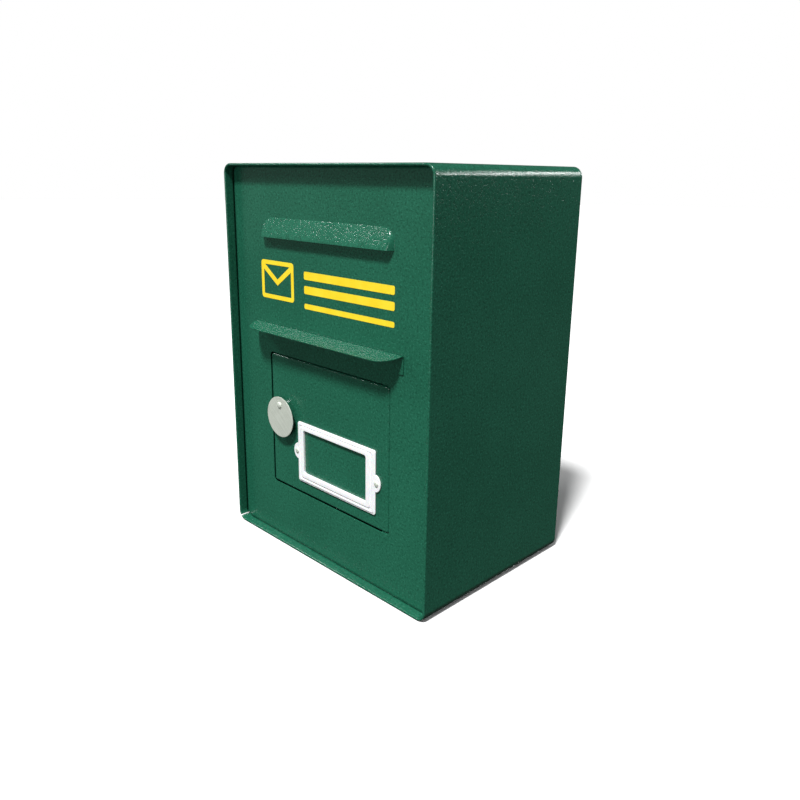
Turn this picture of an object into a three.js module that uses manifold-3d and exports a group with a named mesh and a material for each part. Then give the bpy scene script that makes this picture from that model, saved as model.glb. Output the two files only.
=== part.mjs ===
// Letterbox in folded sheet steel, with an inset front, a louvred letter slot, a rain visor and a
// hinged collection door that carries a cam lock, a swinging keyhole cover and a card frame.
// Millimetres, +Z up, the front faces -Y, the origin is on the underside at the middle of the shell.
import * as THREE from "three";
import { mergeVertices } from "three/addons/utils/BufferGeometryUtils.js";
import Module from "manifold-3d";

const wasm = await Module();
wasm.setup();

// ---------------------------------------------------------------- driving dimensions
const SHEET = 1.0; // steel sheet
const GAP = 0.3; // clearance between pieces that lie against each other
const SIZE = { width: 340, depth: 240, height: 460 };
const BEND = 12; // outer radius of the shell's four long bends
const HEM = { thick: 3, deep: 10 }; // folded front edge of the shell
const SEAM = 1; // open slit between wrap and floor pan, halfway round the lower bends
const RIM_Y = -SIZE.depth / 2;
const BACK_Y = SIZE.depth / 2;
const FACE_Y = RIM_Y + 12; // front face of the inset panel and of the flush door
const PANEL_BACK = FACE_Y + SHEET;
const TRAY = { flange: 12, bend: 2.5 }; // front and back panels
const WALL_HOLE = { x: 110, low: 70, high: 400, radius: 3.5 };

const HOOD = { half: 109, low: 378, rise: 22.5, out: 8, corner: 17 }; // louvre over the letter slot
const VISOR = { half: 124, reach: 25, root: 276.5, slope: 10, corner: 23, flange: 20 };

const DOOR = { left: -101.5, right: 103.5, low: 74, high: 239.2, corner: 3, bend: 3, flange: 14 };
const DOOR_GAP = 1.5;
const HINGE = { inset: 4, pin: 1.45, hole: 1.65, reach: 7 };
const HINGE_EAR = { thick: 1.4, clear: 0.6, deep: 10.7, out: 6.5, to: 20.5, leg: 12, high: 16 };
const STOP = { web: 3, lap: 12, weld: 14, clear: 0.3 }; // Z strips that the door closes against

const LOCK = { x: -76, z: 158, head: 11, body: 8, nut: 11, plug: 5, bore: 5.2 };
const LOCK_HEAD_OUT = 6; // lock head ahead of the door face
const CAM = { length: 30, half: 7, thick: 2, clear: 0.5 };
const TANG = 3; // half width of the square end of the plug
const COVER = { x: -76, z: 180, drop: 15, radius: 25, thick: 1, out: 8.5, hole: 2.4 };

const CARD = { x: 17.7, z: 127.5, width: 134.6, height: 75.4, thick: 1.6, ridge: 3 };
const CARD_BARS = { left: 11.7, right: 14.3, low: 12, high: 9.2, corner: 3 };
const CARD_EAR = { out: 8, tall: 20, into: 8 };
const CARD_RIVET = { left: -68.7, right: 69.3, shank: 1.5, head: 3.2, tail: 2.4 };

const MARK = { thick: 0.15, lift: 0.1 };
const ENVELOPE = { left: -115, right: -53, low: 306, high: 351, line: 5 };
const STRIPES = { left: -34, right: 110 };
const STRIPE_ROWS = { low: [302, 308], middle: [319, 328], high: [335, 344] };

// ---------------------------------------------------------------- finishes
function finish(color, roughness, metalness) {
  return new THREE.MeshStandardMaterial({ color, roughness, metalness });
}
const GREEN = finish(0x245f47, 0.5, 0.2);
const WHITE = finish(0xeef0ee, 0.45, 0);
const YELLOW = finish(0xf7d93a, 0.55, 0);
const STAINLESS = finish(0xc4c8bf, 0.35, 0.9);
const ZINC = finish(0xa9adab, 0.4, 0.85);

// ---------------------------------------------------------------- solids and booleans
function solid(geometry) {
  geometry.deleteAttribute("normal");
  geometry.deleteAttribute("uv");
  const merged = mergeVertices(geometry, 1e-4);
  const vertProperties = Float32Array.from(merged.attributes.position.array);
  const triVerts = Uint32Array.from(merged.index.array);
  return new wasm.Manifold(new wasm.Mesh({ numProp: 3, vertProperties, triVerts }));
}

function extruded(shape, depth, steps) {
  return new THREE.ExtrudeGeometry(shape, { depth, bevelEnabled: false, curveSegments: steps });
}

// A front outline drawn in (x, z), solid from y0 back to y1.
function alongY(shape, y0, y1, steps = 3) {
  return solid(extruded(shape, y1 - y0, steps).rotateX(Math.PI / 2).translate(0, y1, 0));
}

// A plan outline drawn in (x, y), solid from z0 up to z1.
function alongZ(shape, z0, z1, steps = 3) {
  return solid(extruded(shape, z1 - z0, steps).translate(0, 0, z0));
}

// A side outline drawn in (y, z), solid from x0 across to x1.
function alongX(shape, x0, x1, steps = 3) {
  const turn = new THREE.Matrix4().makeBasis(
    new THREE.Vector3(0, 1, 0),
    new THREE.Vector3(0, 0, 1),
    new THREE.Vector3(1, 0, 0),
  );
  return solid(extruded(shape, x1 - x0, steps).applyMatrix4(turn).translate(x0, 0, 0));
}

function box(x0, x1, y0, y1, z0, z1) {
  const geometry = new THREE.BoxGeometry(x1 - x0, y1 - y0, z1 - z0);
  return solid(geometry.translate((x0 + x1) / 2, (y0 + y1) / 2, (z0 + z1) / 2));
}

function rodY(radius, y0, y1, x = 0, z = 0, sides = 32) {
  const geometry = new THREE.CylinderGeometry(radius, radius, y1 - y0, sides);
  return solid(geometry.translate(x, (y0 + y1) / 2, z));
}

function rodZ(radius, z0, z1, x = 0, y = 0, sides = 24) {
  const geometry = new THREE.CylinderGeometry(radius, radius, z1 - z0, sides);
  return solid(geometry.rotateX(Math.PI / 2).translate(x, y, (z0 + z1) / 2));
}

// A shallow dome on a flat base at y = base, bulging forwards.
function domeY(radius, height, base, sides = 24) {
  const profile = [new THREE.Vector2(0, 0), new THREE.Vector2(radius, 0)];
  for (let i = 1; i <= 4; i += 1) {
    const angle = (i * Math.PI) / 8;
    profile.push(new THREE.Vector2(radius * Math.cos(angle), height * Math.sin(angle)));
  }
  profile.at(-1).x = 0;
  return solid(new THREE.LatheGeometry(profile, sides).rotateX(Math.PI).translate(0, base, 0));
}

// A rectangle with rounded corners, given as one radius or as four from the low left corner round.
function rounded(left, low, right, high, corners) {
  const [a, b, c, d] = Array.isArray(corners) ? corners : [corners, corners, corners, corners];
  const shape = new THREE.Shape();
  shape.moveTo(left + a, low);
  shape.lineTo(right - b, low);
  if (b) shape.absarc(right - b, low + b, b, -Math.PI / 2, 0, false);
  shape.lineTo(right, high - c);
  if (c) shape.absarc(right - c, high - c, c, 0, Math.PI / 2, false);
  shape.lineTo(left + d, high);
  if (d) shape.absarc(left + d, high - d, d, Math.PI / 2, Math.PI, false);
  shape.lineTo(left, low + a);
  if (a) shape.absarc(left + a, low + a, a, Math.PI, 1.5 * Math.PI, false);
  return shape;
}

function polygon(points) {
  return new THREE.Shape(points.map(([a, b]) => new THREE.Vector2(a, b)));
}

// ---------------------------------------------------------------- scene graph
const letterbox = new THREE.Group();

function group(parent, x = 0, y = 0, z = 0) {
  const made = new THREE.Group();
  made.position.set(x, y, z);
  parent.add(made);
  return made;
}

function piece(parent, name, shape, material, x = 0, y = 0, z = 0) {
  const { vertProperties, triVerts } = shape.getMesh();
  const geometry = new THREE.BufferGeometry();
  geometry.setAttribute("position", new THREE.BufferAttribute(vertProperties, 3));
  geometry.setIndex(new THREE.BufferAttribute(triVerts, 1));
  geometry.computeVertexNormals();
  const mesh = new THREE.Mesh(geometry, material);
  mesh.name = name;
  mesh.position.set(x, y, z);
  parent.add(mesh);
}

// ---------------------------------------------------------------- folded trays
// A sheet tray with its flanges turned towards +Y (way 1) or -Y (way -1) from its face.
function trayBlock(t, inset, through) {
  const near = t.face + t.way * inset;
  const far = t.face + t.way * (t.flange + through);
  const [y0, y1] = [Math.min(near, far), Math.max(near, far)];
  const [left, right] = [t.left + inset, t.right - inset];
  const [low, high] = [t.low + inset, t.high - inset];
  const edge = t.bend - inset;
  const planCorners = t.way > 0 ? [edge, edge, 0, 0] : [0, 0, edge, edge];
  const sideCorners = t.way > 0 ? [edge, 0, 0, edge] : [0, edge, edge, 0];
  return alongY(rounded(left, low, right, high, t.corner - inset), y0 - 1, y1 + 1, 4)
    .intersect(alongZ(rounded(left, y0, right, y1, planCorners), low - 1, high + 1))
    .intersect(alongX(rounded(y0, low, y1, high, sideCorners), left - 1, right + 1));
}

function tray(t) {
  return trayBlock(t, 0, 0).subtract(trayBlock(t, SHEET, 1));
}

// ---------------------------------------------------------------- shell
// Section of the wrap: sides and top in one sheet, from halfway round one lower bend to the other.
function wrapSection(thick) {
  const side = SIZE.width / 2 - BEND;
  const top = SIZE.height - BEND;
  const slit = Math.asin(SEAM / 2 / BEND);
  const start = 1.25 * Math.PI - slit;
  const end = -0.25 * Math.PI + slit;
  const inner = BEND - thick;
  const shape = new THREE.Shape();
  shape.absarc(-side, BEND, BEND, start, Math.PI, true);
  shape.absarc(-side, top, BEND, Math.PI, Math.PI / 2, true);
  shape.absarc(side, top, BEND, Math.PI / 2, 0, true);
  shape.absarc(side, BEND, BEND, 0, end, true);
  shape.absarc(side, BEND, inner, end, 0, false);
  shape.absarc(side, top, inner, 0, Math.PI / 2, false);
  shape.absarc(-side, top, inner, Math.PI / 2, Math.PI, false);
  shape.absarc(-side, BEND, inner, Math.PI, start, false);
  return shape;
}

// Section of the floor pan, which meets the wrap at the two seams.
function floorSection(thick) {
  const side = SIZE.width / 2 - BEND;
  const slit = Math.asin(SEAM / 2 / BEND);
  const start = 1.25 * Math.PI + slit;
  const end = 1.75 * Math.PI - slit;
  const inner = BEND - thick;
  const shape = new THREE.Shape();
  shape.absarc(-side, BEND, BEND, start, 1.5 * Math.PI, false);
  shape.absarc(side, BEND, BEND, 1.5 * Math.PI, end, false);
  shape.absarc(side, BEND, inner, end, 1.5 * Math.PI, true);
  shape.absarc(-side, BEND, inner, 1.5 * Math.PI, start, true);
  return shape;
}

// The sheet runs the full depth, and its front edge is folded back on itself into a thick hem.
function hemmed(section) {
  const hem = alongY(section(HEM.thick), RIM_Y, RIM_Y + HEM.deep);
  return hem.add(alongY(section(SHEET), RIM_Y, BACK_Y));
}

function buildShell(parent) {
  piece(parent, "shell_wrap", hemmed(wrapSection), GREEN);
  piece(parent, "floor_pan", hemmed(floorSection), GREEN);
  const inset = SHEET + GAP;
  const outline = {
    left: -SIZE.width / 2 + inset,
    right: SIZE.width / 2 - inset,
    low: inset,
    high: SIZE.height - inset,
    corner: BEND - inset,
  };
  const back = tray({ ...outline, ...TRAY, face: BACK_Y, way: -1 });
  const wallHoles = [-1, 1].flatMap((side) =>
    [WALL_HOLE.low, WALL_HOLE.high].map((z) =>
      rodY(WALL_HOLE.radius, BACK_Y - 5, BACK_Y + 5, side * WALL_HOLE.x, z),
    ),
  );
  piece(parent, "back_panel", back.subtract(wasm.Manifold.union(wallHoles)), GREEN);
  piece(parent, "front_panel", buildFront(outline), GREEN);
}

// ---------------------------------------------------------------- front panel and its louvre
// The louvre is a sloped plate that runs from the panel down and out to a lip, with rounded ends.
function hoodBlock(inset) {
  const slope = HOOD.out / HOOD.rise;
  const lip = FACE_Y - HOOD.out + inset * Math.hypot(1, slope);
  const back = PANEL_BACK + 2;
  const [low, high] = [HOOD.low, HOOD.low + HOOD.rise - inset];
  const half = HOOD.half - inset;
  const corner = HOOD.corner - inset;
  const side = HOOD.out - inset;
  const wedge = polygon([[lip, low], [back, low], [back, low + (back - lip) / slope]]);
  const front = rounded(-half, low, half, high, [0, 0, corner, corner]);
  const plan = rounded(-half, lip, half, back, [side, side, 0, 0]);
  return alongX(wedge, -HOOD.half, HOOD.half)
    .intersect(alongY(front, RIM_Y, back, 6))
    .intersect(alongZ(plan, low, high, 6));
}

function buildFront(outline) {
  const sheet = tray({ ...outline, ...TRAY, face: FACE_Y, way: 1 });
  const ahead = box(-HOOD.half, HOOD.half, RIM_Y, FACE_Y + SHEET / 2, HOOD.low, SIZE.height);
  const doorway = rounded(
    DOOR.left - DOOR_GAP,
    DOOR.low - DOOR_GAP,
    DOOR.right + DOOR_GAP,
    DOOR.high + DOOR_GAP,
    DOOR.corner + DOOR_GAP,
  );
  return sheet
    .add(hoodBlock(0).intersect(ahead))
    .subtract(hoodBlock(SHEET))
    .subtract(alongY(doorway, FACE_Y - 2, PANEL_BACK + 2, 4));
}

// ---------------------------------------------------------------- rain visor
function buildVisor(parent) {
  const y = FACE_Y - GAP;
  const tilt = THREE.MathUtils.degToRad(VISOR.slope);
  const length = VISOR.reach / Math.cos(tilt);
  const plan = rounded(-VISOR.half, -length, VISOR.half, 0, [VISOR.corner, VISOR.corner, 0, 0]);
  const plate = extruded(plan, SHEET, 6).rotateX(tilt).translate(0, y, VISOR.root - SHEET);
  const flange = box(-VISOR.half, VISOR.half, y - SHEET, y, VISOR.root - VISOR.flange, VISOR.root);
  const behind = box(-SIZE.width, SIZE.width, y, y + 9, 0, SIZE.height);
  piece(parent, "visor", solid(plate).add(flange).subtract(behind), GREEN);
}

// ---------------------------------------------------------------- stops behind the door opening
// A Z section: a weld leg on the panel, a web beside the opening and a stop behind the door flange.
// The section runs from the opening's edge outwards (u) and from the panel backwards (y).
function stopSection(outwards) {
  const y0 = PANEL_BACK + GAP;
  const y1 = FACE_Y + DOOR.flange + STOP.clear;
  const web = STOP.web;
  const points = [
    [web - SHEET, y0],
    [web - SHEET + STOP.weld, y0],
    [web - SHEET + STOP.weld, y0 + SHEET],
    [web, y0 + SHEET],
    [web, y1 + SHEET],
    [web - STOP.lap, y1 + SHEET],
    [web - STOP.lap, y1],
    [web - SHEET, y1],
  ];
  return points.map(([u, y]) => outwards(u, y));
}

function buildStops(parent) {
  const edge = {
    left: DOOR.left - DOOR_GAP,
    low: DOOR.low - DOOR_GAP,
    high: DOOR.high + DOOR_GAP,
  };
  const ends = { left: DOOR.left + STOP.lap + 2, right: DOOR.right - 18 };
  const left = polygon(stopSection((u, y) => [edge.left - u, y]).reverse());
  const high = polygon(stopSection((u, y) => [y, edge.high + u]));
  const low = polygon(stopSection((u, y) => [y, edge.low - u]).reverse());
  piece(parent, "door_stop_left", alongZ(left, DOOR.low + 4, DOOR.high - 4), GREEN);
  piece(parent, "door_stop_top", alongX(high, ends.left, ends.right), GREEN);
  piece(parent, "door_stop_bottom", alongX(low, ends.left, ends.right), GREEN);
}

// ---------------------------------------------------------------- concealed pin hinges
const PIN_X = DOOR.right - HINGE.inset;
const PIN_Y = FACE_Y + HINGE.inset;

// An ear over the end of the door holds the pin, and a leg beside it is welded behind the panel.
// Both are drawn for the upper hinge, upwards from the door's edge, and way -1 turns them over.
function buildHinge(parent, name, edge, way) {
  const ear = HINGE_EAR;
  const y0 = PANEL_BACK + GAP - PIN_Y;
  const lift = (from, to) => [Math.min(way * from, way * to), Math.max(way * from, way * to)];
  const earLift = lift(ear.clear, ear.clear + ear.thick);
  const legLift = lift(ear.clear, ear.clear + ear.high);
  const headLift = lift(ear.clear + ear.thick + GAP, ear.clear + ear.thick + GAP + 1.2);
  const shankLift = lift(-HINGE.reach, ear.clear + ear.thick + GAP + 0.6);
  const at = group(parent, PIN_X, PIN_Y, edge);
  const plate = box(-ear.out, ear.to, y0, y0 + ear.deep, ...earLift);
  const leg = box(ear.to - ear.leg, ear.to, y0, y0 + SHEET + GAP, ...legLift);
  const hole = rodZ(HINGE.hole, -10, 10);
  piece(at, `hinge_bracket_${name}`, plate.add(leg).subtract(hole), GREEN);
  const pin = rodZ(HINGE.pin, ...shankLift).add(rodZ(HINGE.pin + 1, ...headLift));
  piece(at, `hinge_pin_${name}`, pin, ZINC);
}

// ---------------------------------------------------------------- collection door
function buildDoorPanel(parent) {
  const holes = [
    rodY(LOCK.body + GAP, FACE_Y - 2, PANEL_BACK + 2, LOCK.x, LOCK.z),
    rodY(2 + GAP, FACE_Y - 2, PANEL_BACK + 2, COVER.x, COVER.z, 24),
    ...[CARD_RIVET.left, CARD_RIVET.right].map((x) =>
      rodY(CARD_RIVET.shank + GAP, FACE_Y - 2, PANEL_BACK + 2, CARD.x + x, CARD.z, 24),
    ),
    rodZ(HINGE.hole, DOOR.low - 5, DOOR.high + 5, PIN_X, PIN_Y),
  ];
  const sheet = tray({ ...DOOR, face: FACE_Y, way: 1 });
  piece(parent, "door_panel", sheet.subtract(wasm.Manifold.union(holes)), GREEN);
}

// ---------------------------------------------------------------- cam lock
// Local frame: the lock's axis, with y = 0 on the door's front face.
const CAM_Y = DOOR.flange + STOP.clear + SHEET + CAM.clear;

function buildLock(parent) {
  const at = group(parent, LOCK.x, FACE_Y, LOCK.z);
  const front = -LOCK_HEAD_OUT;
  const rear = CAM_Y - GAP;
  const head = rodY(LOCK.head, front, -GAP, 0, 0, 40);
  const barrel = rodY(LOCK.body, -GAP - 1, rear).intersect(
    box(-LOCK.body, LOCK.body, front, rear, -LOCK.body + 1.5, LOCK.body - 1.5).add(
      rodY(LOCK.body, front, SHEET + 1),
    ),
  );
  const housing = head.add(barrel).subtract(rodY(LOCK.bore, front - 1, rear + 1));
  piece(at, "lock_housing", housing, ZINC);

  const nutY = SHEET + GAP;
  const nut = rodY(LOCK.nut, nutY, nutY + 4, 0, 0, 6);
  piece(at, "lock_nut", nut.subtract(rodY(LOCK.body + GAP, nutY - 1, nutY + 5)), ZINC);

  const keyway = box(-0.9, 0.9, front - 1, front + 7, -3.2, 3.2);
  const tangEnd = CAM_Y + CAM.thick + GAP;
  const tang = box(-TANG, TANG, CAM_Y - 1, tangEnd, -TANG, TANG);
  const tapping = rodY(1.9, CAM_Y - 6, tangEnd + 1, 0, 0, 20);
  const plug = rodY(LOCK.plug, front, CAM_Y - GAP).add(tang).subtract(keyway).subtract(tapping);
  piece(at, "lock_plug", plug, ZINC);

  // The cam hangs straight down while unlocked.
  const camTop = LOCK.plug + 3;
  const outline = rounded(-CAM.half, -CAM.length, CAM.half, camTop, [3, 3, CAM.half, CAM.half]);
  const square = TANG + 0.2;
  const camHole = box(-square, square, CAM_Y - 1, CAM_Y + CAM.thick + 1, -square, square);
  const cam = alongY(outline, CAM_Y, CAM_Y + CAM.thick, 4).subtract(camHole);
  piece(at, "lock_cam", cam, ZINC);

  const screwY = tangEnd + GAP;
  const screw = rodY(1.6, CAM_Y - 4, screwY + 1, 0, 0, 20).add(rodY(4.6, screwY, screwY + 2.2));
  piece(at, "cam_screw", screw, ZINC);
}

// ---------------------------------------------------------------- swinging keyhole cover
// Local frame: the rivet's axis, with y = 0 on the door's front face.
function buildCover(parent) {
  const at = group(parent, COVER.x, FACE_Y, COVER.z);
  const discFront = -COVER.out;
  const discBack = discFront + COVER.thick;
  const disc = rodY(COVER.radius, discFront, discBack, 0, -COVER.drop, 48);
  const hole = rodY(COVER.hole, discFront - 1, discBack + 1, 0, 0, 24);
  piece(at, "keyhole_cover", disc.subtract(hole), STAINLESS);
  const sleeve = rodY(4, discBack + GAP, -GAP).subtract(rodY(2.3, discFront, 1, 0, 0, 24));
  piece(at, "cover_spacer", sleeve, ZINC);
  const rivet = rodY(2, discFront - GAP - 0.2, SHEET + 1.5, 0, 0, 24)
    .add(domeY(4, 1.6, discFront - GAP))
    .add(rodY(3.4, SHEET + GAP, SHEET + 1.5));
  piece(at, "cover_rivet", rivet, STAINLESS);
}

// ---------------------------------------------------------------- card frame
// Local frame: the frame's centre, with y = 0 on the door's front face.
function buildCardFrame(parent) {
  const at = group(parent, CARD.x, FACE_Y, CARD.z);
  const [w, h] = [CARD.width / 2, CARD.height / 2];
  const bars = CARD_BARS;
  const window = [-w + bars.left, -h + bars.low, w - bars.right, h - bars.high];
  const back = -GAP;
  const plateFront = back - CARD.thick;
  const ridgeFront = back - CARD.ridge;
  const ridgeOut = 2.5;
  const rim = alongY(rounded(-w, -h, w, h, 3), plateFront, back);
  const raised = alongY(
    rounded(-w + ridgeOut, -h + ridgeOut, w - ridgeOut, h - ridgeOut, 2),
    ridgeFront,
    plateFront + 0.2,
  );
  const ears = [-1, 1].map((side) => {
    const [inner, outer] = [side * (w - CARD_EAR.into), side * (w + CARD_EAR.out)];
    const half = CARD_EAR.tall / 2;
    const ear = rounded(Math.min(inner, outer), -half, Math.max(inner, outer), half, 6);
    return alongY(ear, plateFront, back);
  });
  const opening = alongY(rounded(...window, bars.corner), ridgeFront - 1, 1);
  const holes = [CARD_RIVET.left, CARD_RIVET.right].map((x) =>
    rodY(CARD_RIVET.shank + GAP, ridgeFront - 1, 1, x, 0, 24),
  );
  const frame = wasm.Manifold.union([rim, raised, ...ears])
    .subtract(opening)
    .subtract(wasm.Manifold.union(holes));
  piece(at, "card_frame", frame, WHITE);
  const rivet = rodY(CARD_RIVET.shank, plateFront - GAP - 0.2, SHEET + 1.6, 0, 0, 20)
    .add(domeY(CARD_RIVET.head, 1.3, plateFront - GAP))
    .add(rodY(CARD_RIVET.tail, SHEET + GAP, SHEET + 1.6, 0, 0, 20));
  piece(at, "card_frame_rivet_left", rivet, STAINLESS, CARD_RIVET.left);
  piece(at, "card_frame_rivet_right", rivet, STAINLESS, CARD_RIVET.right);
}

// ---------------------------------------------------------------- film marking
// A plain envelope sign and plain stripes, cut from thin film.
function buildMarking(parent) {
  const y1 = FACE_Y - MARK.lift;
  const y0 = y1 - MARK.thick;
  const { left, right, low, high, line } = ENVELOPE;
  const sheet = alongY(rounded(left, low, right, high, 4), y0, y1);
  const middle = (left + right) / 2;
  const fold = (low + high) / 2 - 3;
  const field = rounded(left + line, low + line, right - line, high - line, 1);
  const flap = polygon([
    [left, high],
    [left, high - line * 1.5],
    [middle, fold - line * 0.6],
    [right, high - line * 1.5],
    [right, high],
    [middle, fold + line * 0.8],
  ]);
  const outline = sheet.subtract(alongY(field, y0 - 1, y1 + 1));
  const envelope = outline.add(sheet.intersect(alongY(flap, y0, y1)));
  piece(parent, "envelope_sign", envelope, YELLOW);
  for (const [row, [z0, z1]] of Object.entries(STRIPE_ROWS)) {
    const stripe = alongY(rounded(STRIPES.left, z0, STRIPES.right, z1, 2), y0, y1);
    piece(parent, `stripe_${row}`, stripe, YELLOW);
  }
}

// ---------------------------------------------------------------- assembly
const cabinet = group(letterbox);
buildShell(cabinet);
buildVisor(cabinet);
buildStops(cabinet);
buildHinge(cabinet, "top", DOOR.high, 1);
buildHinge(cabinet, "bottom", DOOR.low, -1);
buildMarking(cabinet);

const door = group(letterbox);
buildDoorPanel(door);
buildLock(door);
buildCover(door);
buildCardFrame(door);

export default letterbox;
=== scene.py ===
import math

import bmesh
import bpy
from mathutils import Matrix, Quaternion, Vector


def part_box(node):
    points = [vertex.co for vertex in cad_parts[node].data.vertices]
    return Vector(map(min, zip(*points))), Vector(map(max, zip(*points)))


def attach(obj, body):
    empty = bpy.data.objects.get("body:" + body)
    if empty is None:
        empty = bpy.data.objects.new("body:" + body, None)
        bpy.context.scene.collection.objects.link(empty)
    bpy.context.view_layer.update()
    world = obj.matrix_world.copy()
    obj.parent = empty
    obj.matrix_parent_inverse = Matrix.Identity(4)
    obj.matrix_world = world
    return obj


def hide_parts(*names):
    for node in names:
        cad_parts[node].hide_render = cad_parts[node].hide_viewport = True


# The looks of a letterbox in folded sheet steel. Every helper works in millimetres in the part's
# own frame, with +X to the right, +Y to the back and +Z up, and meshes are written in metres.
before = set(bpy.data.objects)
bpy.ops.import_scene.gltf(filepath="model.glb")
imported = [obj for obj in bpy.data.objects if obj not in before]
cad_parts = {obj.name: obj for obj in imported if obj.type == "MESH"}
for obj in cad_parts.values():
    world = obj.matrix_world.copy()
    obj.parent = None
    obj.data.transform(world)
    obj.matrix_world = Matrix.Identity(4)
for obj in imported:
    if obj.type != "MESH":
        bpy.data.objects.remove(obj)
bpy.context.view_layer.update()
MM = 0.001


def box_mm(node):
    low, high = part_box(node)
    return low / MM, high / MM


# ---------------------------------------------------------------- sizes the frame's boxes don't say
SHEET = 1.0
GAP = 0.3
BEND = 12
SEAM = 2.0
SEAM_ANGLE = 42
HEM = {"thick": 3, "deep": 10}
TRAY = {"corner": 10.7, "bend": (2.5, 2.5)}
FRONT_BEND = (5, 2)
WALL_HOLE = {"radius": 3.5, "x": 110, "heights": (70, 400)}
HOOD = {"half": 109, "low": 378, "rise": 22.5, "corner": 17, "end": 7, "side": 2.7}
VISOR = {"slope": 10, "corner": 23, "bend": 2.0}
DOOR = {"corner": 3, "bend": (2.6, 2.6), "gap": 1.5}
STOP = {"web": 3, "lap": 12, "weld": 14}
RIVET_HOLE = 1.8
COVER_HOLE = 2.3
SPACER_RADIUS = 4
FRAME_RIVET = {"head": 3.2, "rise": 1.3, "shank": 1.5, "tail": 2.4}
COVER_RIVET = {"head": 4, "rise": 1.6, "shank": 2, "tail": 3.4}
HOLE_MARGIN = 0.8
DISC = {"rim": 0.9, "hole": 2.4, "margin": 3.0}
NUT = {"across": 9.4, "chamfer": 0.9, "crown": 1.6}
LOCK = {"head": 11, "body": 8, "flat": 6.5, "bore": 5.2}
CARD = {"width": 134.6, "window": (11.7, 12, 14.3, 9.2), "corner": 3, "ear_half": 10}
INWARDS = (1, 1, -1, -1)  # the way in from the left, low, right and high side


def middle_of(node):
    low, high = box_mm(node)
    return (low + high) / 2


FACE_Y = box_mm("door_panel")[0].y
SHELL_LOW, SHELL_HIGH = box_mm("shell_wrap")
LOCK_AT = middle_of("lock_housing")
COVER_AT = middle_of("cover_rivet")
RIVETS_AT = [middle_of(f"card_frame_rivet_{side}") for side in ("left", "right")]


# ---------------------------------------------------------------- camera, lights and floor
BOX_MIDDLE = Vector((0, 0, 0.23))
SUN_DISTANCE = 3
KEY = {"azimuth": 21, "elevation": 59, "spread": 8, "strength": 4.5}
LAMPS = {  # azimuth, elevation, distance, width, height, watts and lean
    "rim_lamp": (145.5, 24.5, 2.06, 0.95, 0.06, 10, 36),
    "left_sheen": (-50, 8, 3.0, 2.6, 1.2, 1.3, 0),
    "front_left_lamp": (-60, 35, 2.2, 0.42, 0.22, 12, 0),
    "front_fill": (16, 6, 3.0, 1.6, 1.2, 22, 0),
}
FLOOR_RADIUS = 12
FLOOR_DROP = 0.0004
FLOOR_SEEN, FLOOR_LIT = 0.93, 0.04
ROOM_COLOUR, ROOM_STRENGTH = (0.94, 0.98, 1.0, 1), 0.06


def set_camera():
    data = bpy.data.cameras.new("camera")
    data.sensor_width = 36
    data.lens = 32.99
    data.shift_x = 0.00625
    data.shift_y = -0.03375
    camera = bpy.data.objects.new("camera", data)
    azimuth, elevation, roll = math.radians(45.07), math.radians(15.14), math.radians(0.71)
    level = math.cos(elevation)
    back = Vector((math.sin(azimuth) * level, -math.cos(azimuth) * level, math.sin(elevation)))
    camera.rotation_mode = "QUATERNION"
    camera.rotation_quaternion = (-back).to_track_quat("-Z", "Y") @ Quaternion((0, 0, 1), roll)
    camera.location = (0.6167, -0.6120, 0.4492)
    bpy.context.scene.collection.objects.link(camera)
    bpy.context.scene.camera = camera


def towards(azimuth, elevation):
    """A direction away from the box. Azimuth 0 is straight in front, and 90 is to the right."""
    a, e = math.radians(azimuth), math.radians(elevation)
    return Vector((math.sin(a) * math.cos(e), -math.cos(a) * math.cos(e), math.sin(e)))


def hang_light(name, data, out, place, lean=0):
    """Puts a light at a place and points it back along the direction it hangs in."""
    light = bpy.data.objects.new(name, data)
    light.location = place
    light.rotation_mode = "QUATERNION"
    level = (-out).to_track_quat("-Z", "Y")
    light.rotation_quaternion = level @ Quaternion((0, 0, 1), math.radians(lean))
    bpy.context.scene.collection.objects.link(light)


def lamp(name, azimuth, elevation, distance, wide, high, watts, lean):
    """A flat lamp that looks at the middle of the box."""
    data = bpy.data.lights.new(name, "AREA")
    data.shape = "RECTANGLE"
    data.size, data.size_y = wide, high
    data.energy = watts
    out = towards(azimuth, elevation)
    hang_light(name, data, out, BOX_MIDDLE + out * distance, lean)


def sun(name, azimuth, elevation, spread, strength):
    """A far lamp with soft shadows."""
    data = bpy.data.lights.new(name, "SUN")
    data.angle = math.radians(spread)
    data.energy = strength
    out = towards(azimuth, elevation)
    hang_light(name, data, out, out * SUN_DISTANCE)


def seen_and_lit(tree, seen, lit):
    """Mixes two shaders: one for what the eye sees, the other for the light it throws."""
    path = tree.nodes.new("ShaderNodeLightPath")
    choose = tree.nodes.new("ShaderNodeMixShader")
    tree.links.new(path.outputs["Is Camera Ray"], choose.inputs[0])
    tree.links.new(lit.outputs[0], choose.inputs[1])
    tree.links.new(seen.outputs[0], choose.inputs[2])
    return choose.outputs[0]


def set_studio():
    sun("key_lamp", **KEY)
    for name, settings in LAMPS.items():
        lamp(name, *settings)
    world = bpy.data.worlds.new("studio")
    world.use_nodes = True
    tree = world.node_tree
    room = tree.nodes["Background"]
    room.inputs["Color"].default_value = ROOM_COLOUR
    room.inputs["Strength"].default_value = ROOM_STRENGTH
    paper = tree.nodes.new("ShaderNodeBackground")
    paper.inputs["Color"].default_value = (1, 1, 1, 1)
    shown = seen_and_lit(tree, paper, room)
    tree.links.new(shown, tree.nodes["World Output"].inputs["Surface"])
    bpy.context.scene.world = world
    bpy.context.scene.view_settings.view_transform = "Standard"


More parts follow.
